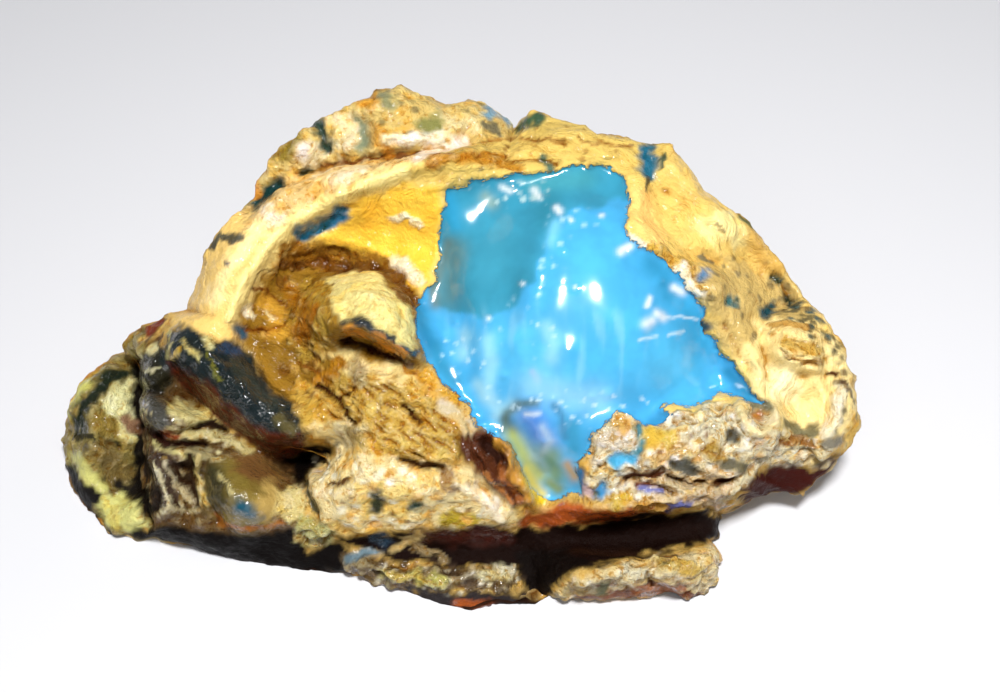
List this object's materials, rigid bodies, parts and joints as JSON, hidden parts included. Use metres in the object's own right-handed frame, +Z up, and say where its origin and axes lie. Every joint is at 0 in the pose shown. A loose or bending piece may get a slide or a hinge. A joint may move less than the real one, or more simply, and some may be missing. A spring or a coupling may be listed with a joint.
{
  "type": "rough blue amber",
  "caption": "Rough nugget of blue amber: weathered yellow crust, open glossy blue window, folded lobes at the ends and a crumbly shelf over a recess, lying on a flat worn patch.",
  "frame": {"origin": "centre of the nugget's footprint box, on the plane it rests on", "axes": "+X along the nugget's length, from the lobed end to the folded ear; +Y to the back; +Z up. The broad face looks towards -Y and up"},
  "size_m": [0.0718, 0.044, 0.027],
  "materials": {
    "amber": "weathered crust, partly glossy, with a polished-looking blue window"
  },
  "bodies": {
    "root": {"rough_amber": "amber"}
  },
  "joints": []
}
